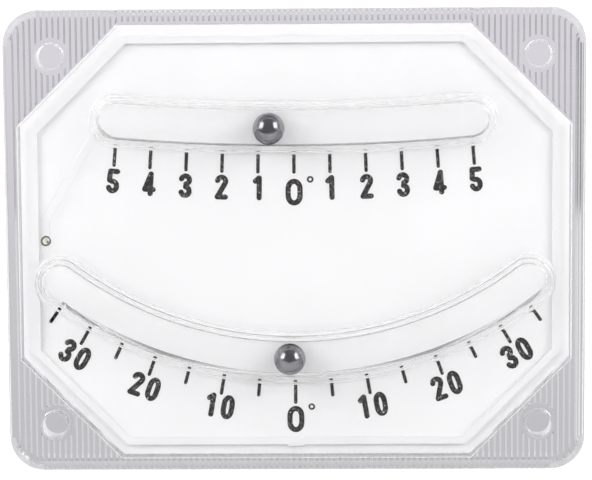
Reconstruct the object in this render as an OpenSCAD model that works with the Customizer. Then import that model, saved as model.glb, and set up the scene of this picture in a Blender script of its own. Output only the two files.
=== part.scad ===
// Ball inclinometer with two scales, for screwing to a bulkhead or panel.
// A clear moulded cover carries two arched ball tracks, and a white dial plate closes
// them from behind. A thin passage with a plugged hole joins the tracks. X is right,
// Z is up, the front faces -Y, and the origin is the centre of the flat back.

/* [Body] */
// Width of the clear flange
body_w = 100; // [96:0.5:120]
// Height of the clear flange
body_h = 80; // [76:0.5:100]
// Thickness of the flange
flange_t = 5; // [3.5:0.1:6]
// Radius of the flange's corners
corner_r = 6; // [4:0.5:10]
// Rounding of the flange's front edge
edge_round = 1.6; // [0.4:0.1:3]

/* [Reeded back] */
// Distance from reed to reed
reed_pitch = 1; // [0.8:0.1:2]
// Width of a reed at its foot
reed_w = 0.36; // [0.2:0.02:0.6]
// Width of a reed's flat crest
reed_crest = 0.1; // [0.04:0.02:0.18]
// Height of the reeds
reed_h = 0.3; // [0.1:0.05:0.6]
// Plain land that is left round the dial plate
reed_land = 0.4; // [0.2:0.1:1]

/* [Screw holes] */
// Distance of a screw hole from the flange's edges
hole_inset = 8; // [6:0.1:9]
// Diameter of a screw hole
hole_d = 4.3; // [3:0.1:5]
// Chamfer at both mouths of a screw hole
hole_chamfer = 0.3; // [0.1:0.1:0.6]
// Diameter of the plain land round a screw hole
boss_d = 6.5; // [6:0.1:9]

/* [Platform] */
// Width of the flange beside the raised eight-sided platform
flange_w = 2.5; // [2.2:0.1:4]
// Leg of the platform's cut corners
window_cut = 17.3; // [16:0.1:20]
// Rise of the platform above the flange
platform_rise = 1.5; // [0.5:0.1:2.5]
// Rounding of the platform's front edge
platform_round = 0.3; // [0.1:0.1:1.2]

/* [Dial plate] */
// Thickness of the white dial plate
plate_t = 2; // [1.2:0.1:2.6]
// Clearance round the edge of the dial plate
plate_clear = 0.3; // [0.1:0.05:0.5]
// Air gap between the dial plate and the cover
print_gap = 0.15; // [0.1:0.01:0.3]
// Distance of the weld rib from the platform's edge
weld_inset = 2; // [1.5:0.05:2.2]
// Width of the weld rib
weld_w = 1.25; // [0.8:0.05:1.3]
// Height of the weld rib above the dial plate
weld_h = 0.7; // [0.4:0.05:1.2]
// Clearance on each side of the weld rib
weld_clear = 0.08; // [0.04:0.01:0.2]
// Clearance before the weld rib
weld_gap = 0.03; // [0.02:0.01:0.1]
// Length of each moulding gate's widened piece of the weld rib
gate_len = 2.8; // [1:0.1:4]
// How far a gate's piece stands outside the rib
gate_step = 0.25; // [0.1:0.05:0.4]

/* [Balls and tracks] */
// Diameter of the steel balls
ball_d = 5.5; // [4.5:0.1:5.8]
// Clearance between a ball and the wall that it rolls on
roll_clear = 0.1; // [0.05:0.01:0.15]
// Clearance before and behind a ball
side_clear = 0.15; // [0.1:0.01:0.3]
// Width of a track across the scale
track_w = 6.4; // [6.2:0.1:7]
// Rounding of a track's front corners
track_round = 0.3; // [0.1:0.1:1.2]
// Thickness of the clear wall before a track
track_cap = 1.2; // [0.8:0.1:2]
// Width of the raised ridge that holds a track
ridge_w = 8; // [7.8:0.1:8.8]
// Rounding of a ridge's front edges
ridge_round = 0.3; // [0.1:0.05:0.6]
// Radius of the hollow fillet at a ridge's foot
ridge_foot = 1.25; // [0.6:0.05:1.4]
// Sideways place of the arcs' centres
arc_x = -0.1; // [-0.3:0.05:0.3]

/* [Upper track] */
// Radius of the upper ball's path
upper_path_r = 348; // [300:1:400]
// Distance of the level upper ball from the platform's top edge
upper_drop = 17.9; // [16.5:0.1:19.5]
// Travel of the upper ball to each side, in degrees
upper_travel = 5; // [3:0.1:5]
// Where the upper ball lies, in degrees to the right
upper_ball_at = -0.7; // [-2:0.1:2]

/* [Lower track] */
// Distance of the level lower ball from the platform's bottom edge
lower_rise = 17.2; // [15.5:0.1:18.5]
// Travel of the lower ball to each side, in degrees
lower_travel = 37; // [20:0.5:37]
// Space between the weld rib and the ends of the lower track and scale
side_margin = 0.95; // [0.8:0.05:2]
// Where the lower ball lies, in degrees to the right
lower_ball_at = -0.8; // [-5:0.1:5]

/* [Filling passage] */
// Width of the groove that joins the two tracks
passage_w = 1.5; // [0.8:0.1:1.6]
// Depth of the groove that joins the two tracks
passage_depth = 1; // [0.5:0.1:1.5]
// Distance of the filling hole from the platform's left edge
fill_inset = 4.4; // [4.3:0.05:5.5]
// Height of the filling hole
fill_z = 0.2; // [-1:0.1:1]
// Diameter of the filling hole
fill_d = 1.8; // [1:0.1:2]
// Clearance round the plug in the filling hole
plug_clear = 0.03; // [0.02:0.01:0.06]
// Depth of the plug's end below the plate's back
plug_sink = 0.3; // [0.1:0.1:0.5]

/* [Scales] */
// Thickness of the printed ink
ink_t = 0.05; // [0.03:0.01:0.08]
// Width of a tick
tick_w = 0.58; // [0.3:0.02:0.7]
// Degrees between the upper ticks
upper_step = 1; // [0.5:0.5:1]
// Radial place of the upper ticks' lower ends, from the ball's path
upper_tick_out = 7.9; // [6.5:0.1:8]
// Degrees between the lower ticks
lower_step = 5; // [5:5:10]
// Radial place of the long lower ticks' ends, from the ball's path
lower_tick_out = 7.65; // [6.5:0.05:8]
// How much shorter a short tick of the lower scale is
short_by = 0.5; // [0.2:0.05:1]
// How much longer the zero tick of the lower scale is
zero_tick_more = 0.5; // [0:0.05:0.7]
// Distance from a ridge's wall to the ticks' upper ends
tick_clear = 0.2; // [0.1:0.05:0.8]
// Height of a numeral
numeral_h = 4.3; // [3:0.1:4.4]
// Width of a numeral
numeral_w = 2.3; // [1.8:0.05:2.6]
// Width of a numeral's stroke
stroke_w = 0.9; // [0.4:0.05:0.95]
// Height of the zero marks
zero_h = 4.65; // [4:0.05:5]
// Width of the zero marks
zero_w = 2.95; // [2.4:0.05:3.2]
// Height of each curved end of a zero, for each millimetre of the zero's height
zero_end = 0.36; // [0.2:0.02:0.5]
// Distance from the ticks' ends to the numerals' middles
numeral_drop = 2.48; // [2.4:0.02:3.2]
// Distance from the ticks' ends to the zero marks' middles
zero_drop = 3.2; // [3:0.05:3.6]
// Distance between the digits of a two-digit number
digit_pitch = 2.97; // [2.6:0.01:3.4]
// Outer diameter of the degree rings
degree_d = 1.15; // [0.8:0.05:1.4]
// Width of a degree ring's stroke
degree_w = 0.3; // [0.15:0.05:0.4]
// Sideways distance from a zero mark's middle to its degree ring
degree_x = 2.78; // [2.6:0.02:3.2]
// Height of a degree ring above its zero mark's middle
degree_z = 2.2; // [1.6:0.05:2.4]

/* [Hidden] */
$fn = 96;

// Overlap that carries a cut clear through a face
over = 1;
// Outer size of the eight-sided platform
window_w = body_w - 2 * flange_w;
window_h = body_h - 2 * flange_w;
// Depths, measured forward from the flat back
platform_d = flange_t + platform_rise;
seat_d = plate_t + print_gap;
ball_depth = plate_t + side_clear + ball_d / 2;
track_d = ball_depth + ball_d / 2 + side_clear;
ridge_d = track_d + track_cap;
// The hollow fillet runs out this far below the platform's face, so that it meets it at an edge
foot_sink = 0.03;
// A track lies a little above its ball's path, because the ball rolls on the lower wall
track_shift = ball_d / 2 + roll_clear - track_w / 2;
upper_centre_z = window_h / 2 - upper_drop + upper_path_r;
// The lower path is as wide as the room inside the weld rib lets its track and scale be
lower_last = floor(lower_travel / lower_step) * lower_step;
lower_tens = floor(lower_last / 10);
room_x = window_w / 2 - weld_inset - weld_w - side_margin;
lower_path_r = min((room_x - track_w / 2) / sin(lower_travel) - track_shift,
                   room_x / sin(lower_last) - lower_tick_out,
                   (room_x - (digit_pitch + numeral_w) / 2 * cos(lower_tens * 10)) / sin(lower_tens * 10)
                   - lower_tick_out - numeral_drop - numeral_h / 2);
lower_centre_z = lower_rise - window_h / 2 + lower_path_r;
// Middle of the filling hole
fill_x = fill_inset - window_w / 2;
// Straight pieces in an arc or a rounded end of a printed stroke
arc_steps = 10;

// Parts are laid out flat, with their depth upwards, and are then stood up
module upright() {
    rotate([90, 0, 0]) children();
}

// ---- outlines -------------------------------------------------------------

// Corners of the eight-sided outline, moved inwards by inset
function window_points(inset) =
    let (a = window_w / 2 - inset, b = window_h / 2 - inset,
         c = window_cut - inset * (2 - sqrt(2)))
    [[a, b - c], [a - c, b], [c - a, b], [-a, b - c],
     [-a, c - b], [c - a, -b], [a - c, -b], [a, c - b]];

// A prism on the eight-sided outline, from one depth to another
module window_prism(inset, from, to) {
    translate([0, 0, from]) linear_extrude(to - from) polygon(window_points(inset));
}

// Distance of each side of the platform from its middle, by the side's direction
function side_distance(side) =
    side % 2 == 1 ? (window_w / 2 + window_h / 2 - window_cut) / sqrt(2)
    : side % 4 == 0 ? window_w / 2 : window_h / 2;

// A rectangle whose outer front corner is rounded
module rounded_step(w, t, r) {
    difference() {
        square([w, t]);
        translate([w - r, t - r]) difference() {
            square(r + over);
            circle(r);
        }
    }
}

// Places at the four screw holes
module at_holes() {
    for (x = [-1, 1], z = [-1, 1])
        translate([x * (body_w / 2 - hole_inset), z * (body_h / 2 - hole_inset), 0]) children();
}

// ---- clear cover ----------------------------------------------------------

module flange_rim() {
    rounded_step(corner_r, flange_t, edge_round);
}

// The flange: a flat middle, four straight rims and four turned corners
module flange() {
    inner = [body_w - 2 * corner_r, body_h - 2 * corner_r];
    translate([-inner.x / 2, -inner.y / 2, 0]) cube([inner.x, inner.y, flange_t]);
    for (i = [0:3]) {
        run = i % 2 == 0 ? inner.y : inner.x;
        out = i % 2 == 0 ? inner.x / 2 : inner.y / 2;
        rotate([0, 0, 90 * i]) {
            translate([out, run / 2, 0]) rotate([90, 0, 0]) linear_extrude(run) flange_rim();
            translate([out, run / 2, 0]) rotate_extrude(angle = 90) flange_rim();
        }
    }
}

// The platform is what eight rounded slabs, one for each side, have in common
module platform() {
    reach = body_w;
    intersection_for (side = [0:7])
        rotate([0, 0, 45 * side])
            translate([side_distance(side) - reach, reach, seat_d])
                rotate([90, 0, 0]) linear_extrude(2 * reach)
                    rounded_step(reach, platform_d - seat_d, platform_round);
}

// Half of a ridge's section, from its middle outwards
module ridge_half() {
    foot_d = platform_d + ridge_foot - foot_sink;
    translate([0, seat_d]) rounded_step(ridge_w / 2, ridge_d - seat_d, ridge_round);
    difference() {
        translate([0, seat_d]) square([ridge_w / 2 + ridge_foot, foot_d - seat_d]);
        translate([ridge_w / 2 + ridge_foot, foot_d]) circle(ridge_foot);
    }
}

// Half of a track's section, open towards the back
module track_half() {
    rounded_step(track_w / 2, track_d, track_round);
}

// Sweeps a half section, and its mirror image, along a track with round ends
module along_track(path_r, centre_z, travel) {
    line_r = path_r + track_shift;
    translate([arc_x, centre_z, 0]) {
        rotate([0, 0, 270 - travel]) rotate_extrude(angle = 2 * travel)
            translate([line_r, 0]) {
                children();
                mirror([1, 0]) children();
            }
        for (end = [-1, 1])
            rotate([0, 0, 270 + end * travel]) translate([line_r, 0, 0])
                rotate([0, 0, end > 0 ? 0 : 180]) rotate_extrude(angle = 180) children();
    }
}

module upper_sweep() {
    along_track(upper_path_r, upper_centre_z, upper_travel) children();
}

module lower_sweep() {
    along_track(lower_path_r, lower_centre_z, lower_travel) children();
}

// A reed that runs up the whole back, and the space behind its crest
module reed() {
    foot = reed_w / 2;
    crest = reed_crest / 2;
    rotate([90, 0, 0]) linear_extrude(body_h + 4 * over, center = true)
        polygon([[-foot, reed_h + over], [foot, reed_h + over], [foot, reed_h], [crest, 0],
                 [crest, -2 * over], [-crest, -2 * over], [-crest, 0], [-foot, reed_h]]);
}

// What the back of the flange is cut down by. Reeds stay, and a land round plate and holes
module reeding() {
    half_count = floor(body_w / 2 / reed_pitch);
    difference() {
        translate([-body_w / 2 - over, -body_h / 2 - over, -over])
            cube([body_w + 2 * over, body_h + 2 * over, reed_h + over]);
        for (i = [-half_count : half_count - 1])
            translate([(i + 0.5) * reed_pitch, 0, 0]) reed();
        window_prism(-reed_land, -2 * over, 2 * over);
        at_holes() translate([0, 0, -2 * over]) cylinder(d = boss_d, h = 4 * over);
    }
}

// The ring that the weld rib fills, widened on both sides by a clearance
module weld_ring(clear) {
    difference() {
        polygon(window_points(weld_inset - clear));
        polygon(window_points(weld_inset + weld_w + clear));
    }
}

// Small pads on the outside of the weld rib, where the plate was moulded
module gate_pads(clear) {
    pad = [gate_len + 2 * clear, gate_step + clear + weld_w / 2];
    for (up = [-1, 1])
        translate([0, up * (window_h / 2 - weld_inset - weld_w / 2 + pad.y / 2)])
            square(pad, center = true);
    translate([-window_w / 2 + weld_inset + weld_w / 2 - pad.y / 2, fill_z])
        square([pad.y, pad.x], center = true);
}

// A straight groove with round ends
module groove(from, to) {
    run = to - from;
    translate(from) {
        circle(d = passage_w);
        rotate(atan2(run.y, run.x)) translate([0, -passage_w / 2])
            square([norm(run), passage_w]);
    }
    translate(to) circle(d = passage_w);
}

// End of a track's middle line, at its left end
function track_end(path_r, centre_z, travel) =
    [arc_x - (path_r + track_shift) * sin(travel), centre_z - (path_r + track_shift) * cos(travel)];

// The passage leaves the upper track, turns down beside the weld and ends in the lower track
module passage() {
    upper_end = track_end(upper_path_r, upper_centre_z, upper_travel);
    lower_end = track_end(lower_path_r, lower_centre_z, lower_travel);
    bend = [fill_x, fill_z + 2 * fill_d];
    groove(upper_end - [(track_w - passage_w) / 2, 0], bend);
    groove(bend, [fill_x, lower_end.y + track_w / 4]);
}

module screw_holes() {
    at_holes() {
        translate([0, 0, -over]) cylinder(d = hole_d, h = flange_t + 2 * over);
        translate([0, 0, flange_t - hole_chamfer])
            cylinder(d1 = hole_d, d2 = hole_d + 4 * hole_chamfer, h = 2 * hole_chamfer);
        translate([0, 0, -hole_chamfer])
            cylinder(d1 = hole_d + 4 * hole_chamfer, d2 = hole_d, h = 2 * hole_chamfer);
    }
}

module front_cover() {
    color([0.93, 0.94, 0.96, 0.35]) upright() difference() {
        union() {
            flange();
            platform();
            upper_sweep() ridge_half();
            lower_sweep() ridge_half();
        }
        window_prism(0, -over, seat_d);
        upper_sweep() track_half();
        lower_sweep() track_half();
        linear_extrude(plate_t + weld_h + weld_gap) {
            weld_ring(weld_clear);
            gate_pads(weld_clear);
        }
        linear_extrude(seat_d + passage_depth) passage();
        screw_holes();
        reeding();
    }
}

// ---- dial plate and plug --------------------------------------------------

module dial_plate() {
    color([0.98, 0.98, 0.98]) upright() difference() {
        union() {
            window_prism(plate_clear, 0, plate_t);
            translate([0, 0, plate_t / 2]) linear_extrude(plate_t / 2 + weld_h) {
                weld_ring(0);
                gate_pads(0);
            }
        }
        translate([fill_x, fill_z, -over]) cylinder(d = fill_d, h = plate_t + 2 * over);
    }
}

// The plug has a shallow dimple in its front end
module fill_plug() {
    plug_r = fill_d / 2 - plug_clear;
    color([0.45, 0.44, 0.40]) upright() translate([fill_x, fill_z, 0]) difference() {
        translate([0, 0, plug_sink]) cylinder(r = plug_r, h = plate_t - plug_sink);
        translate([0, 0, plate_t]) sphere(r = plug_r / 2);
    }
}

// ---- balls ----------------------------------------------------------------

module ball(path_r, centre_z, at) {
    translate([arc_x, centre_z, ball_depth]) rotate([0, 0, at])
        translate([0, -path_r, 0]) sphere(d = ball_d);
}

module upper_ball() {
    color([0.28, 0.28, 0.30]) upright() ball(upper_path_r, upper_centre_z, upper_ball_at);
}

module lower_ball() {
    color([0.28, 0.28, 0.30]) upright() ball(lower_path_r, lower_centre_z, lower_ball_at);
}

// ---- printed scales -------------------------------------------------------

// Points on an arc from one angle to another
function arc(centre, rx, ry, from, to) =
    [for (i = [0 : arc_steps])
        let (a = from + (to - from) * i / arc_steps) centre + [rx * cos(a), ry * sin(a)]];

// Direction of a stroke at point i
function heading(path, i) =
    let (last = len(path) - 1, d = path[min(i + 1, last)] - path[max(i - 1, 0)])
    atan2(d.y, d.x);

// One side of a stroke, left for side 1 and right for side -1
function stroke_side(path, side) =
    [for (i = [0 : len(path) - 1])
        let (a = heading(path, i) + 90 * side) path[i] + stroke_w / 2 * [cos(a), sin(a)]];

// A round end at point i, swept from one angle to another
function stroke_end(path, i, from) =
    [for (k = [1 : arc_steps - 1])
        let (a = from - 180 * k / arc_steps) path[i] + stroke_w / 2 * [cos(a), sin(a)]];

function backwards(list) = [for (i = [len(list) - 1 : -1 : 0]) list[i]];

// A pen stroke with round ends along a list of points
module stroke(path) {
    last = len(path) - 1;
    polygon(concat(stroke_side(path, 1),
                   stroke_end(path, last, heading(path, last) + 90),
                   backwards(stroke_side(path, -1)),
                   stroke_end(path, 0, heading(path, 0) - 90)));
}

// Half width and half height of a numeral's middle line
nx = (numeral_w - stroke_w) / 2;
nz = (numeral_h - stroke_w) / 2;
// Height of the bar of the 4
bar_z = -nz * 0.58;

// Strokes of the numerals 1 to 5, as lists of points about their middles
function numeral_strokes(digit) =
    digit == 1 ? [[[nx * 0.35, nz], [nx * 0.35, -nz]], [[nx * 0.3, nz], [-nx * 0.6, nz * 0.68]]]
    : digit == 2 ? [concat(arc([0, nz - nx], nx, nx, 170, -20), [[-nx, -nz]]),
                    [[-nx, -nz], [nx, -nz]]]
    : digit == 3 ? [arc([0, nz - nx], nx, nx, 165, -80),
                    arc([0, nx * 1.1 - nz], nx, nx * 1.1, 85, -165)]
    : digit == 4 ? [[[nx * 0.4, nz], [-nx, bar_z]], [[-nx, bar_z], [nx * 1.1, bar_z]],
                    [[nx * 0.4, nz], [nx * 0.4, -nz]]]
    : [[[nx, nz], [-nx * 0.7, nz]], [[-nx * 0.7, nz], [-nx * 0.85, nz * 0.1]],
       concat([[-nx * 0.85, nz * 0.1]], arc([0, nx * 1.2 - nz], nx, nx * 1.2, 105, -160))];

// An upright loop with oval ends
function loop_points(w, h) =
    let (end = h * zero_end)
    concat(arc([0, h / 2 - end], w / 2, end, 0, 180), arc([0, end - h / 2], w / 2, end, 180, 360));

module zero(w, h) {
    difference() {
        polygon(loop_points(w, h));
        polygon(loop_points(w - 2 * stroke_w, h - 2 * stroke_w));
    }
}

module numeral(digit) {
    if (digit == 0) zero(numeral_w, numeral_h);
    else for (path = numeral_strokes(digit)) stroke(path);
}

// The large zero with its small degree ring
module zero_mark() {
    zero(zero_w, zero_h);
    translate([degree_x, degree_z]) difference() {
        circle(d = degree_d);
        circle(d = degree_d - 2 * degree_w);
    }
}

// Places a mark at an angle and a radius of a scale
module on_scale(centre_z, at, r) {
    translate([arc_x, centre_z]) rotate(at) translate([0, -r]) children();
}

// A tick whose outer end is round
module tick(centre_z, at, from_r, to_r) {
    on_scale(centre_z, at, to_r - tick_w / 2) {
        translate([-tick_w / 2, 0]) square([tick_w, to_r - from_r - tick_w / 2]);
        circle(d = tick_w);
    }
}

// Where the ticks start, just outside the ridge's wall
function tick_from(path_r) = path_r + track_shift + ridge_w / 2 + tick_clear;

module printed() {
    color([0.1, 0.09, 0.09]) upright() translate([0, 0, plate_t]) linear_extrude(ink_t) children();
}

module upper_scale_ink() {
    tick_end = upper_path_r + upper_tick_out;
    printed() {
        for (at = [-floor(upper_travel) : upper_step : floor(upper_travel)]) {
            tick(upper_centre_z, at, tick_from(upper_path_r), tick_end);
            if (at != 0 && at == round(at))
                on_scale(upper_centre_z, at, tick_end + numeral_drop) numeral(abs(at));
        }
        on_scale(upper_centre_z, 0, tick_end + zero_drop) zero_mark();
    }
}

module lower_scale_ink() {
    tick_end = lower_path_r + lower_tick_out;
    number_r = tick_end + numeral_drop - short_by;
    printed() {
        for (at = [-lower_last : lower_step : lower_last])
            tick(lower_centre_z, at, tick_from(lower_path_r),
                 at == 0 ? tick_end + zero_tick_more : at % 10 == 0 ? tick_end : tick_end - short_by);
        for (tens = [1 : lower_tens], side = [-1, 1])
            on_scale(lower_centre_z, side * tens * 10, number_r) {
                translate([-digit_pitch / 2, 0]) numeral(tens);
                translate([digit_pitch / 2, 0]) numeral(0);
            }
        on_scale(lower_centre_z, 0, tick_end + zero_drop) zero_mark();
    }
}

front_cover();
dial_plate();
upper_ball();
lower_ball();
fill_plug();
upper_scale_ink();
lower_scale_ink();
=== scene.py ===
"""A clear ball inclinometer in plain studio light: finishes, stage, lamps and camera."""

import math

import bpy
from mathutils import Matrix, Vector

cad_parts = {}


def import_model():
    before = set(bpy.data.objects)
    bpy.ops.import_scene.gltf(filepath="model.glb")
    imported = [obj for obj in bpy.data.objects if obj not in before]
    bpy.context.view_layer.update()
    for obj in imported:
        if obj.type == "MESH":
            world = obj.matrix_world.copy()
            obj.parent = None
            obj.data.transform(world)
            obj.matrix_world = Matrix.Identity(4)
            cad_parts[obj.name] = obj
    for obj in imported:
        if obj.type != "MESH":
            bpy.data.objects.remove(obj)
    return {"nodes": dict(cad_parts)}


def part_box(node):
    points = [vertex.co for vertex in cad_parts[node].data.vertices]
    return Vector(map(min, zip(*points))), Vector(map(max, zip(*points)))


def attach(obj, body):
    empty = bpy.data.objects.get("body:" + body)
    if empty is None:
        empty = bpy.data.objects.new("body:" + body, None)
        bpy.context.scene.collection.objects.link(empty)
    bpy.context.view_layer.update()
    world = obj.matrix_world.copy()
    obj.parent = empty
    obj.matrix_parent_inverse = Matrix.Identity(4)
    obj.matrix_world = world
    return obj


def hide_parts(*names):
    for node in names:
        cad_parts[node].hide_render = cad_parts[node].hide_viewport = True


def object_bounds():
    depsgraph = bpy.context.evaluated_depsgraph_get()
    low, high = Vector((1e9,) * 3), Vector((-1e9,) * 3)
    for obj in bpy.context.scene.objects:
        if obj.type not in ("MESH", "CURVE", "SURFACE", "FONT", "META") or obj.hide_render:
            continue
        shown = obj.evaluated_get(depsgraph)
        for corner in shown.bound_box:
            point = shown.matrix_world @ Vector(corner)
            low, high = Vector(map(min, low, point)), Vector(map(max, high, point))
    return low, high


MM = 0.001

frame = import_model()
cad_low, cad_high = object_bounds()
PLATE_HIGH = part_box("dial_plate")[1]

# Index of the clear plastic against air, and where it is welded to the plate
PLASTIC_IOR = 1.50
WELDED_IOR = 1.001
CLEAR_COLOUR = (0.995, 0.995, 1.0, 1.0)
# Finishes of the cover: index, what a face leaves of a lamp's light, and roughness
FINISHES = {
    "clear_plastic": (PLASTIC_IOR, 0.97, 0.0),
    "clear_plastic_steep": (PLASTIC_IOR, 0.92, 0.12),
    "clear_plastic_reeds": (PLASTIC_IOR, 0.90, 0.06),
    "clear_plastic_welded": (WELDED_IOR, 0.99, 0.0),
    "clear_plastic_satin": (PLASTIC_IOR, 0.85, 0.45),
}

# Eight-sided platform: clearance round the plate, leg of its cut corners, width of its edge
PLATE_CLEAR = 0.3 * MM
WINDOW_CUT = 17.3 * MM
BESIDE_PLATFORM = 0.1 * MM
# Weld, by its inset from the platform's outline and by its depth from the back
WELD_INSET = (1.8 * MM, 3.5 * MM)
WELD_DEPTH = (2.2 * MM, 2.8 * MM)
# Filling passage: left of PASSAGE_X, in the lower half and within PASSAGE_DEPTH of the back
PASSAGE_X = -41.5 * MM
PASSAGE_DEPTH = 3.2 * MM
# Reeds: their depth, the lean of their faces, and how little these tip up or down
REED_DEPTH = 0.31 * MM
REED_LEAN = (0.2, 0.97)
REED_TIP = 0.02
# Rounded corners of the flange, and the screw holes with their chamfers
CORNER_R = 6.2 * MM
HOLE_INSET = 8 * MM
HOLE_REACH = 2.6 * MM
# A face is flat while its normal's part towards the viewer is at least this
FLAT_NORMAL = 0.97

# Curved faces are split until their normals turn, and their chords stand off, no further
FINE_TURN = math.cos(math.radians(4.6))
FLAT_TURN = math.cos(math.radians(0.3))
FINE_LIFT = 0.004 * MM
FINE_ROUNDS = 3
SMOOTH_EDGE = 0.9
WELD_STEP = 0.0001 * MM

# Tones of the opaque pieces, as their noise or the distance from the plug's middle grows
DIAL_TONES = ((0.925, 0.92, 0.925), (0.95, 0.945, 0.95))
INK_TONES = ((0.003, 0.003, 0.003), (0.006, 0.005, 0.005), (0.50, 0.44, 0.40))
STEEL_TONES = ((0.26, 0.255, 0.28), (0.32, 0.315, 0.34))
STEEL_ROUGHNESS = (0.10, 0.17)
PLUG_TONES = ((0.93, 0.90, 0.85), (0.10, 0.095, 0.07), (0.13, 0.12, 0.09))
# Speck on the plug: its colour, and its place right of the middle and above it, in plug radii
SPECK_COLOUR = (0.12, 0.08, 0.06)
SPECK_PLACE = (0.32, -0.26)

# Floor: its depth below the object, its reach, its colour and the light that it shows the eye
FLOOR_DROP = 0.2 * MM
FLOOR_REACH = 6.0
FLOOR_COLOUR = (0.92, 0.92, 0.92, 1.0)
FLOOR_GLOW = 0.5
# Backing sheet, glowing with the painted shade of the surface behind: gap behind the object, insets
# from its sides, bottom and top, cut corners, and its painted shade tones, darker at the bottom
# than the top
SHEET_GAP = 0.3 * MM
SHEET_INSETS = (0.9 * MM, 0.9 * MM, 1.5 * MM)
SHEET_CUT = 3.0 * MM
SHEET_SHADE_TONES = ((0.53, 0.525, 0.55), (0.68, 0.66, 0.71))
# Studio: half its width, its front and back walls, its ceiling, and where the front wall pales
STUDIO_SIDE = 1.5
STUDIO_FRONT = -1.3
STUDIO_BACK = 1.0
STUDIO_TOP = 1.3
PALE_FROM = 0.2
# Table: height over the object's bottom, gap before its front, and where its three parts meet
TABLE_LIFT = 1.0 * MM
TABLE_GAP = 0.5 * MM
TABLE_PARTS = (-0.4, -0.1)
# Light of every wall in flat gloss, and the most clear faces that a ray passes
IN_GLOSS = 0.12
MOST_FACES = 16
# Clear faces passed by a ray that shows the edges or the balls, and mirrors met by one that
# shows the reeds, at the least. Both are whole numbers, so these limits lie between them
EDGES_OVER = 0.5
BALLS_OVER = 3.5
REEDS_OVER = 1.5

# Softboxes: directions and radiances, with one distance, width and height for both
SOFTBOXES = {
    "left_softbox": ((-0.735, -0.477, 0.42), 3.6),
    "right_softbox": ((0.735, -0.477, 0.42), 3.5),
}
SOFTBOX_AWAY = 0.9
SOFTBOX_SIZE = (0.45, 0.56)
# World: strength of the soft fill on the object, and of the white that is seen
FILL = 0.94
WHITE = 1.0

# Camera, as the photograph's perspective gives it
CAMERA_PLACE = Vector((11.883, -474.408, 56.487)) * MM
CAMERA_TURN = math.radians(-1.426)
CAMERA_DROP = math.radians(6.8137)
CAMERA_ROLL = math.radians(-0.4475)
CAMERA_CLIP = (0.01, 50.0)
FOCAL_PX = 2750.0
PHOTO_WIDTH_PX = 592
SENSOR_MM = 36.0


# ---- helpers ---------------------------------------------------------------

def new_material(name):
    """A material with an empty node tree and its output node."""
    material = bpy.data.materials.new(name)
    material.use_nodes = True
    tree = material.node_tree
    tree.nodes.clear()
    output = tree.nodes.new("ShaderNodeOutputMaterial")
    return material, tree, output


def principled(tree, **values):
    """A Principled shader whose named sockets hold constant values."""
    shader = tree.nodes.new("ShaderNodeBsdfPrincipled")
    for name, value in values.items():
        shader.inputs[name.replace("_", " ")].default_value = value
    return shader


def noise(tree, scale, detail=2.0, roughness=0.5):
    """Noise in object space, scale in features per metre."""
    place = tree.nodes.new("ShaderNodeTexCoord")
    texture = tree.nodes.new("ShaderNodeTexNoise")
    texture.inputs["Scale"].default_value = scale
    texture.inputs["Detail"].default_value = detail
    texture.inputs["Roughness"].default_value = roughness
    tree.links.new(place.outputs["Object"], texture.inputs["Vector"])
    return texture.outputs["Fac"]


def ramp(tree, source, stops, interpolation="LINEAR"):
    """Maps a value to colours; stops is a list of (place, colour)."""
    node = tree.nodes.new("ShaderNodeValToRGB")
    while len(node.color_ramp.elements) < len(stops):
        node.color_ramp.elements.new(0.5)
    for element, (place, colour) in zip(node.color_ramp.elements, stops):
        element.position = place
        element.color = (*colour, 1.0)
    node.color_ramp.interpolation = interpolation
    tree.links.new(source, node.inputs["Fac"])
    return node.outputs["Color"]


def bump(tree, source, shader, strength, distance):
    """Feeds a height into the shader's normal; distance is in metres."""
    node = tree.nodes.new("ShaderNodeBump")
    node.inputs["Strength"].default_value = strength
    node.inputs["Distance"].default_value = distance
    tree.links.new(source, node.inputs["Height"])
    tree.links.new(node.outputs["Normal"], shader.inputs["Normal"])


def mottle(tree, socket, stops, scale, detail=2.0, roughness=0.5):
    """Feeds noise into a socket, as the colours that stops gives it."""
    tree.links.new(ramp(tree, noise(tree, scale, detail, roughness), stops), socket)


def maths(tree, operation, first, second):
    """Works out one value from a socket and a second socket or number."""
    node = tree.nodes.new("ShaderNodeMath")
    node.operation = operation
    tree.links.new(first, node.inputs[0])
    if isinstance(second, (int, float)):
        node.inputs[1].default_value = second
    else:
        tree.links.new(second, node.inputs[1])
    return node.outputs["Value"]


def mix_colours(tree, amount, first, second):
    """The first colour where the amount is 0, the second where it is 1; sockets or values."""
    node = tree.nodes.new("ShaderNodeMix")
    node.data_type = "RGBA"
    tree.links.new(amount, node.inputs["Factor"])
    for source, socket in ((first, node.inputs["A"]), (second, node.inputs["B"])):
        if isinstance(source, tuple):
            socket.default_value = (*source, 1.0)
        else:
            tree.links.new(source, socket)
    return node.outputs["Result"]


def mix_shaders(tree, amount, first, second, output):
    """Sends out the first shader where the amount is 0 and the second where it is 1."""
    node = tree.nodes.new("ShaderNodeMixShader")
    tree.links.new(amount, node.inputs["Fac"])
    tree.links.new(first, node.inputs[1])
    tree.links.new(second, node.inputs[2])
    tree.links.new(node.outputs["Shader"], output.inputs["Surface"])


def emission(tree, colour):
    """Light of the given colour, where 1 is white."""
    node = tree.nodes.new("ShaderNodeEmission")
    tree.links.new(colour, node.inputs["Color"])
    return node.outputs["Emission"]


def see_through(tree, colour=(1.0, 1.0, 1.0)):
    """A shader that lets light pass, tinted by the colour."""
    node = tree.nodes.new("ShaderNodeBsdfTransparent")
    node.inputs["Color"].default_value = (*colour, 1.0)
    return node.outputs["BSDF"]


def grey(value):
    """A colour with three equal parts."""
    return (value, value, value)


# ---- materials -------------------------------------------------------------

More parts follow.
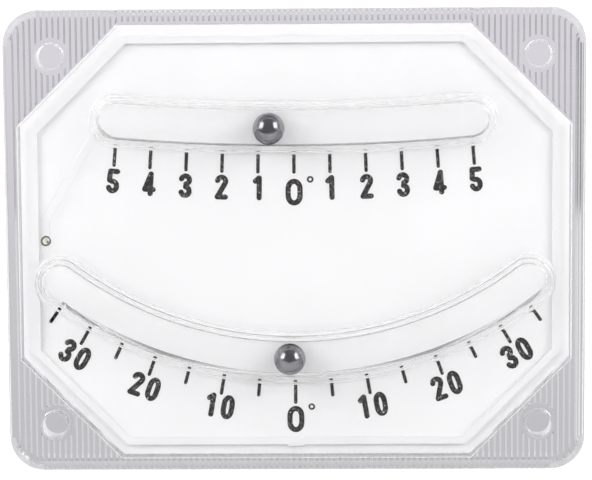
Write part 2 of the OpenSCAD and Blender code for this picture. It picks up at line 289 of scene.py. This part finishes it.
def clear_material(name, ior, shadow_tint, roughness):
    """Clear moulded plastic. Lamps reach what lies behind it, dimmed by shadow_tint."""
    material, tree, output = new_material(name)
    shader = principled(
        tree, Base_Color=CLEAR_COLOUR, Roughness=roughness, IOR=ior, Transmission_Weight=1.0
    )
    path = tree.nodes.new("ShaderNodeLightPath")
    mix_shaders(
        tree, path.outputs["Is Shadow Ray"],
        shader.outputs["BSDF"], see_through(tree, grey(shadow_tint)), output,
    )
    return material


def dial_material():
    """Smooth white moulding with faint cloudiness."""
    material, tree, output = new_material("white_moulding")
    shader = principled(tree, Roughness=0.38, Specular_IOR_Level=0.4)
    clouds = [(0.3, DIAL_TONES[0]), (0.7, DIAL_TONES[1])]
    mottle(tree, shader.inputs["Base Color"], clouds, scale=60.0, detail=3.0)
    bump(tree, noise(tree, scale=9000.0), shader, strength=0.05, distance=0.02 * MM)
    tree.links.new(shader.outputs["BSDF"], output.inputs["Surface"])
    return material


def ink_material():
    """Screen-printed black with the pinholes and thin spots of such a print."""
    material, tree, output = new_material("black_print")
    shader = principled(tree, Roughness=0.5, Specular_IOR_Level=0.1)
    spots = [(0.0, INK_TONES[0]), (0.60, INK_TONES[1]), (0.68, INK_TONES[2])]
    mottle(tree, shader.inputs["Base Color"], spots, scale=3600.0, roughness=0.55)
    tree.links.new(shader.outputs["BSDF"], output.inputs["Surface"])
    return material


def steel_material():
    """Polished dark bearing steel with very fine scuffs."""
    material, tree, output = new_material("dark_steel")
    shader = principled(tree, Metallic=1.0)
    clouds = [(0.3, STEEL_TONES[0]), (0.7, STEEL_TONES[1])]
    mottle(tree, shader.inputs["Base Color"], clouds, scale=700.0, detail=3.0)
    scuffs = [(0.35, grey(STEEL_ROUGHNESS[0])), (0.75, grey(STEEL_ROUGHNESS[1]))]
    mottle(tree, shader.inputs["Roughness"], scuffs, scale=4000.0, detail=4.0)
    tree.links.new(shader.outputs["BSDF"], output.inputs["Surface"])
    return material


def plug_material():
    """Cream sealing drop in a dark olive rim, with a brown speck beside its middle."""
    material, tree, output = new_material("sealing_plug")
    shader = principled(tree, Roughness=0.35)
    low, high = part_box("fill_plug")
    middle = (low + high) / 2
    radius = (high.x - low.x) / 2
    place = tree.nodes.new("ShaderNodeTexCoord")
    rim = disc_distance(tree, place, middle, 0.0, 0.0, radius)
    drop = ramp(tree, rim, [(0.62, PLUG_TONES[0]), (0.74, PLUG_TONES[1]), (1.0, PLUG_TONES[2])])
    aside, above = SPECK_PLACE
    speck = disc_distance(tree, place, middle, aside * radius, above * radius, radius)
    speck_amount = ramp(tree, speck, [(0.16, grey(1.0)), (0.34, grey(0.0))])
    colour = mix_colours(tree, speck_amount, drop, SPECK_COLOUR)
    tree.links.new(colour, shader.inputs["Base Color"])
    tree.links.new(shader.outputs["BSDF"], output.inputs["Surface"])
    return material


def disc_distance(tree, place, middle, aside, above, radius):
    """Distance in the front plane from a point beside the plug's middle, in plug radii."""
    shift = tree.nodes.new("ShaderNodeVectorMath")
    shift.operation = "SUBTRACT"
    shift.inputs[1].default_value = (middle.x + aside, 0.0, middle.z + above)
    flatten = tree.nodes.new("ShaderNodeVectorMath")
    flatten.operation = "MULTIPLY"
    flatten.inputs[1].default_value = (1 / radius, 0.0, 1 / radius)
    length = tree.nodes.new("ShaderNodeVectorMath")
    length.operation = "LENGTH"
    tree.links.new(place.outputs["Object"], shift.inputs[0])
    tree.links.new(shift.outputs["Vector"], flatten.inputs[0])
    tree.links.new(flatten.outputs["Vector"], length.inputs[0])
    return length.outputs["Value"]


def give(material, *nodes):
    """Puts one material on every slot of the named CAD nodes."""
    for node in nodes:
        slots = frame["nodes"][node].data.materials
        slots.clear()
        slots.append(material)


# ---- clear cover: its curved faces, split finer ------------------------------

def curved_middle(start, end, sides):
    """Middle of the curve that an edge stands for, from the normals of the faces beside it."""
    chord = end - start
    lifts = [(chord.dot(b) * b - chord.dot(a) * a) / 8 for a, b in sides]
    means = [(a + b).normalized() for a, b in sides]
    middle = (start + end) / 2
    along = means[0].dot(means[-1])
    if abs(along) > SMOOTH_EDGE:
        return middle + (lifts[0] + lifts[-1]) / 2
    first, last = lifts[0].dot(means[0]), lifts[-1].dot(means[-1])
    square = 1 - along * along
    return (
        middle
        + means[0] * ((first - along * last) / square)
        + means[-1] * ((last - along * first) / square)
    )


def split_triangle(ids, normals, middles):
    """The two to four triangles that a triangle becomes, given the middles of its split edges."""
    split = [k for k in range(3) if middles[k] is not None]
    ends = [(ids[k], normals[k]) for k in range(3)]
    half = [
        (middles[k], (normals[k] + normals[(k + 1) % 3]).normalized()) if k in split else None
        for k in range(3)
    ]
    if len(split) == 3:
        corners = [(ends[k], half[k], half[k - 1]) for k in range(3)] + [tuple(half)]
    elif len(split) == 2:
        k = next(k for k in range(3) if k in split and (k + 1) % 3 in split)
        a, b, c = (ends[(k + j) % 3] for j in range(3))
        ab, bc = half[k], half[(k + 1) % 3]
        corners = [(ab, b, bc), (a, ab, bc), (a, bc, c)]
    else:
        k = split[0]
        a, b, c = (ends[(k + j) % 3] for j in range(3))
        corners = [(a, half[k], c), (half[k], b, c)]
    return [(tuple(e[0] for e in tri), tuple(e[1] for e in tri)) for tri in corners]


def split_round(points, triangles):
    """Splits each edge once along which the surface still turns too far."""
    beside = {}
    for ids, normals in triangles:
        for k in range(3):
            a, b = k, (k + 1) % 3
            if ids[a] > ids[b]:
                a, b = b, a
            beside.setdefault((ids[a], ids[b]), []).append((normals[a], normals[b]))
    middles = {}
    for (a, b), sides in beside.items():
        turn = min(start.dot(end) for start, end in sides)
        lift = max(abs((points[b] - points[a]).dot(start)) for start, _ in sides) / 4
        if turn < FINE_TURN or (turn < FLAT_TURN and lift > FINE_LIFT):
            middles[a, b] = len(points)
            points.append(curved_middle(points[a], points[b], sides))
    result = []
    for ids, normals in triangles:
        found = [
            middles.get((min(ids[k], ids[(k + 1) % 3]), max(ids[k], ids[(k + 1) % 3])))
            for k in range(3)
        ]
        if found == [None, None, None]:
            result.append((ids, normals))
        else:
            result += split_triangle(ids, normals, found)
    return result


def finer_copy(node, name):
    """A copy of a CAD node with smoother curves. It stands for the node and rides with it."""
    mesh = frame["nodes"][node].data
    known, points, triangles = {}, [], []
    place = []
    for vertex in mesh.vertices:
        key = tuple(round(value / WELD_STEP) for value in vertex.co)
        if key not in known:
            known[key] = len(points)
            points.append(vertex.co.copy())
        place.append(known[key])
    for face in mesh.polygons:
        ids = tuple(place[mesh.loops[k].vertex_index] for k in face.loop_indices)
        normals = tuple(mesh.corner_normals[k].vector.copy() for k in face.loop_indices)
        if len(set(ids)) == 3:
            triangles.append((ids, normals))
    for _ in range(FINE_ROUNDS):
        triangles = split_round(points, triangles)
    fine = bpy.data.meshes.new(name)
    fine.from_pydata(points, [], [ids for ids, _ in triangles])
    fine.shade_smooth()
    fine.normals_split_custom_set([normal for _, normals in triangles for normal in normals])
    piece = bpy.data.objects.new(name, fine)
    bpy.context.scene.collection.objects.link(piece)
    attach(piece, "housing")
    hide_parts(node)
    return piece


# ---- clear cover: each kind of face has its own finish ----------------------

def window_inset(x, z):
    """How far a point lies inside the outline of the eight-sided platform."""
    half_w = PLATE_HIGH.x + PLATE_CLEAR
    half_h = PLATE_HIGH.z + PLATE_CLEAR
    beside = min(half_w - abs(x), half_h - abs(z))
    corner = (half_w + half_h - WINDOW_CUT - abs(x) - abs(z)) / math.sqrt(2)
    return min(beside, corner)


def in_corner(point):
    """True in a rounded corner of the flange."""
    return min(abs(point.x) - cad_high.x, abs(point.z) - cad_high.z) > -CORNER_R


def near_hole(point):
    """True in the wall and the chamfers of a screw hole."""
    aside = cad_high.x - HOLE_INSET - abs(point.x)
    above = cad_high.z - HOLE_INSET - abs(point.z)
    return math.hypot(aside, above) < HOLE_REACH


def face_finish(centre, normal):
    """The finish of a face of the cover, from its place and its slope."""
    depth = -centre.y
    inset = window_inset(centre.x, centre.z)
    in_weld = WELD_INSET[0] < inset < WELD_INSET[1] and WELD_DEPTH[0] < depth < WELD_DEPTH[1]
    in_passage = centre.x < PASSAGE_X and centre.z < 0 and inset > 0 and depth < PASSAGE_DEPTH
    leans = REED_LEAN[0] < abs(normal.x) < REED_LEAN[1] and abs(normal.z) < REED_TIP
    steep = abs(normal.y) < FLAT_NORMAL
    if in_weld or in_passage:
        return "clear_plastic_welded"
    if depth < REED_DEPTH and leans:
        return "clear_plastic_reeds"
    if near_hole(centre) or (steep and in_corner(centre)):
        return "clear_plastic_satin"
    if steep and inset > -BESIDE_PLATFORM:
        return "clear_plastic_steep"
    return "clear_plastic"


def cover_finish(cover):
    """Flat faces are polished, steep ones and corners softer, and the weld hardly shows."""
    mesh = cover.data
    mesh.materials.clear()
    for name, (ior, shadow_tint, roughness) in FINISHES.items():
        mesh.materials.append(clear_material(name, ior, shadow_tint, roughness))
    slots = {name: slot for slot, name in enumerate(FINISHES)}
    for face in mesh.polygons:
        face.material_index = slots[face_finish(face.center, face.normal)]


# ---- stage -----------------------------------------------------------------

def plane(name, corners, material):
    """A flat piece of the stage, from its corners."""
    mesh = bpy.data.meshes.new(name)
    mesh.from_pydata(corners, [], [range(len(corners))])
    obj = bpy.data.objects.new(name, mesh)
    bpy.context.scene.collection.objects.link(obj)
    mesh.materials.append(material)
    return obj


def rectangle(name, half_w, front, back, low, high, material):
    """A piece of the stage: level where low is high, and upright where front is back."""
    corners = [
        (-half_w, front, low), (half_w, front, low), (half_w, back, high), (-half_w, back, high),
    ]
    return plane(name, corners, material)


def floor():
    """White ground. A little light of its own keeps it white to the eye, and the shadow stays."""
    material, tree, output = new_material("floor")
    shader = tree.nodes.new("ShaderNodeBsdfDiffuse")
    shader.inputs["Color"].default_value = FLOOR_COLOUR
    path = tree.nodes.new("ShaderNodeLightPath")
    glow = tree.nodes.new("ShaderNodeEmission")
    level = maths(tree, "MULTIPLY", path.outputs["Is Camera Ray"], FLOOR_GLOW)
    tree.links.new(level, glow.inputs["Strength"])
    both = tree.nodes.new("ShaderNodeAddShader")
    tree.links.new(shader.outputs["BSDF"], both.inputs[0])
    tree.links.new(glow.outputs["Emission"], both.inputs[1])
    tree.links.new(both.outputs["Shader"], output.inputs["Surface"])
    z = cad_low.z - FLOOR_DROP
    rectangle("floor", FLOOR_REACH, -FLOOR_REACH, FLOOR_REACH, z, z, material)


def painted_shade_sheet():
    """The sheet close behind the object, seen through the clear flange from the front only. It
    stands for the surface behind and glows with that surface's painted shade, darker at the bottom.
    """
    material, tree, output = new_material("painted_shade_sheet")
    place = tree.nodes.new("ShaderNodeTexCoord")
    split = tree.nodes.new("ShaderNodeSeparateXYZ")
    tree.links.new(place.outputs["Object"], split.inputs["Vector"])
    spread = tree.nodes.new("ShaderNodeMapRange")
    spread.inputs["From Min"].default_value = cad_low.z
    spread.inputs["From Max"].default_value = cad_high.z
    tree.links.new(split.outputs["Z"], spread.inputs["Value"])
    # Painted shade: a grey that glows in place of the shadow on the surface behind, darker towards
    # the bottom
    shade_tones = [(0.1, SHEET_SHADE_TONES[0]), (0.9, SHEET_SHADE_TONES[1])]
    colour = ramp(tree, spread.outputs["Result"], shade_tones)
    side = tree.nodes.new("ShaderNodeNewGeometry")
    mix_shaders(
        tree, side.outputs["Backfacing"], emission(tree, colour), see_through(tree), output
    )
    beside, below, above = SHEET_INSETS
    x, y, cut = cad_high.x - beside, cad_high.y + SHEET_GAP, SHEET_CUT
    low, high = cad_low.z + below, cad_high.z - above
    corners = [
        (-x, low + cut), (-x + cut, low), (x - cut, low), (x, low + cut),
        (x, high - cut), (x - cut, high), (-x + cut, high), (-x, high - cut),
    ]
    sheet = plane("painted_shade_sheet", [(a, y, b) for a, b in corners], material)
    sheet.visible_diffuse = sheet.visible_glossy = sheet.visible_shadow = False


def wall_material(name, in_edges, in_reeds, in_balls):
    """A wall whose light depends on what mirrors or refracts it: edges, reeds or balls."""
    material, tree, output = new_material(name)
    path = tree.nodes.new("ShaderNodeLightPath")
    faces = maths(tree, "DIVIDE", path.outputs["Transmission Depth"], MOST_FACES)
    levels = [
        (0.0, grey(IN_GLOSS)),
        (EDGES_OVER / MOST_FACES, grey(in_edges)),
        (BALLS_OVER / MOST_FACES, grey(in_balls)),
    ]
    mirrored = ramp(tree, faces, levels, interpolation="CONSTANT")
    mirrors = path.outputs["Glossy Depth"]
    seldom = mix_colours(tree, mirrors, grey(in_edges), mirrored)
    often = maths(tree, "GREATER_THAN", mirrors, REEDS_OVER)
    colour = mix_colours(tree, often, seldom, grey(in_reeds))
    mix_shaders(
        tree, path.outputs["Diffuse Depth"], emission(tree, colour), see_through(tree), output
    )
    return material


def studio_walls():
    """Walls, ceiling and table before the object, for mirrored and refracted rays alone."""
    front, back, top = STUDIO_FRONT, STUDIO_BACK, STUDIO_TOP
    table, edge = cad_low.z + TABLE_LIFT, cad_low.y - TABLE_GAP
    far, near = TABLE_PARTS
    dark = wall_material("wall_low", in_edges=0.9, in_reeds=0.16, in_balls=0.08)
    pale = wall_material("wall_high", in_edges=0.95, in_reeds=0.75, in_balls=0.08)
    distant = wall_material("table_far", in_edges=0.95, in_reeds=0.25, in_balls=0.08)
    between = wall_material("table_middle", in_edges=0.95, in_reeds=0.85, in_balls=0.08)
    close = wall_material("table_near", in_edges=0.95, in_reeds=0.85, in_balls=1.0)
    for name, start, end, low, high, material in (
        ("front_wall_low", front, front, table, PALE_FROM, dark),
        ("front_wall_high", front, front, PALE_FROM, top, pale),
        ("ceiling", front, back, top, top, pale),
        ("table_far", front, far, table, table, distant),
        ("table_middle", far, near, table, table, between),
        ("table_near", near, edge, table, table, close),
    ):
        wall = rectangle(name, STUDIO_SIDE, start, end, low, high, material)
        wall.visible_camera = wall.visible_diffuse = wall.visible_shadow = False


def softbox(name, direction, radiance):
    """A rectangular area lamp that faces the object."""
    width, height = SOFTBOX_SIZE
    light = bpy.data.lights.new(name, "AREA")
    light.shape = "RECTANGLE"
    light.size, light.size_y = width, height
    light.energy = radiance * width * height * math.pi
    lamp = bpy.data.objects.new(name, light)
    away = Vector(direction).normalized()
    lamp.location = away * SOFTBOX_AWAY
    lamp.rotation_mode = "QUATERNION"
    lamp.rotation_quaternion = (-away).to_track_quat("-Z", "Y")
    lamp.visible_camera = False
    bpy.context.scene.collection.objects.link(lamp)


def background(tree, strength):
    """Even white light of the given strength."""
    node = tree.nodes.new("ShaderNodeBackground")
    node.inputs["Color"].default_value = (1.0, 1.0, 1.0, 1.0)
    node.inputs["Strength"].default_value = strength
    return node.outputs["Background"]


def world():
    """White background for the eye, for gloss and for clear plastic; a soft fill otherwise."""
    sky = bpy.data.worlds.new("studio")
    bpy.context.scene.world = sky
    sky.use_nodes = True
    tree = sky.node_tree
    tree.nodes.clear()
    output = tree.nodes.new("ShaderNodeOutputWorld")
    path = tree.nodes.new("ShaderNodeLightPath")
    seen = maths(tree, "MAXIMUM", path.outputs["Is Camera Ray"], path.outputs["Is Glossy Ray"])
    seen = maths(tree, "MAXIMUM", seen, path.outputs["Is Transmission Ray"])
    mix_shaders(tree, seen, background(tree, FILL), background(tree, WHITE), output)


def camera():
    """The photograph's camera: its place, its turn and its focal length in pixels."""
    forward = Vector((
        math.sin(CAMERA_TURN) * math.cos(CAMERA_DROP),
        math.cos(CAMERA_TURN) * math.cos(CAMERA_DROP),
        -math.sin(CAMERA_DROP),
    ))
    right = Vector((math.cos(CAMERA_TURN), -math.sin(CAMERA_TURN), 0.0))
    up = right.cross(forward)
    side = math.cos(CAMERA_ROLL) * right + math.sin(CAMERA_ROLL) * up
    top = -math.sin(CAMERA_ROLL) * right + math.cos(CAMERA_ROLL) * up
    data = bpy.data.cameras.new("camera")
    data.sensor_width = SENSOR_MM
    data.lens = SENSOR_MM * FOCAL_PX / PHOTO_WIDTH_PX
    data.clip_start, data.clip_end = CAMERA_CLIP
    eye = bpy.data.objects.new("camera", data)
    eye.matrix_world = Matrix.Translation(CAMERA_PLACE) @ Matrix((
        (side.x, top.x, -forward.x, 0.0),
        (side.y, top.y, -forward.y, 0.0),
        (side.z, top.z, -forward.z, 0.0),
        (0.0, 0.0, 0.0, 1.0),
    ))
    bpy.context.scene.collection.objects.link(eye)
    bpy.context.scene.camera = eye


# ---- the scene -------------------------------------------------------------

camera()
world()
floor()
painted_shade_sheet()
studio_walls()
for lamp_name, (lamp_direction, lamp_radiance) in SOFTBOXES.items():
    softbox(lamp_name, lamp_direction, lamp_radiance)

cover = finer_copy("front_cover", "front_cover_fine")
cover_finish(cover)
give(dial_material(), "dial_plate")
give(plug_material(), "fill_plug")
give(steel_material(), "upper_ball", "lower_ball")
give(ink_material(), "upper_scale_ink", "lower_scale_ink")

bpy.context.scene.view_settings.view_transform = "Standard"
